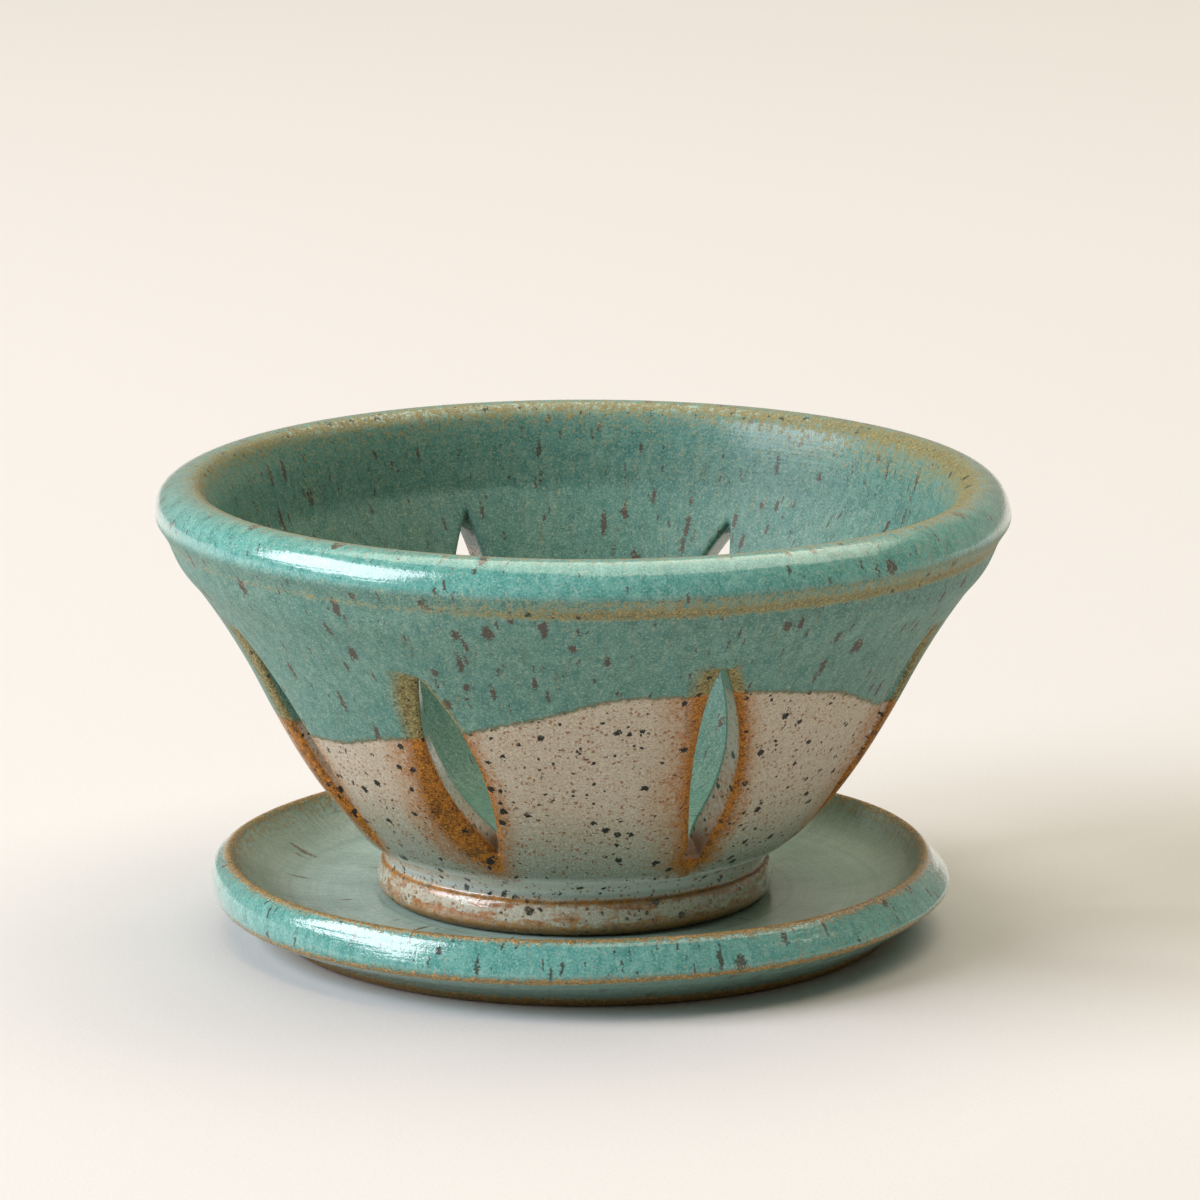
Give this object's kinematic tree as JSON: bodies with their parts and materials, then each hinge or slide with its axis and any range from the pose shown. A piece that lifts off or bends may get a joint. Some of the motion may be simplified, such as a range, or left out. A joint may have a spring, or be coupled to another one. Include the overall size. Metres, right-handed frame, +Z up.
{
  "type": "berry colander bowl with drip saucer",
  "caption": "Thrown stoneware colander bowl with carved drain slots and a rolled rim, standing loose on a rimmed drip saucer; rinses and serves berries.",
  "frame": {"origin": "centre of the underside of the saucer, on the table", "axes": "+Z up along the turned axis of bowl and saucer; -Y is the side that the picture shows"},
  "size_m": [0.13, 0.13, 0.0708],
  "materials": {
    "bowl_glaze": "glossy turquoise and speckled grey-white glaze on stoneware",
    "saucer_glaze": "glossy turquoise glaze on stoneware, bare clay underneath"
  },
  "bodies": {
    "saucer": {"saucer": "saucer_glaze"},
    "bowl": {"colander_bowl": "bowl_glaze"}
  },
  "joints": [
    {"name": "bowl_lift", "type": "slide", "parent": "saucer", "child": "bowl", "axis": [0, 0, 1], "range_m": [0, 0.08]}
  ]
}
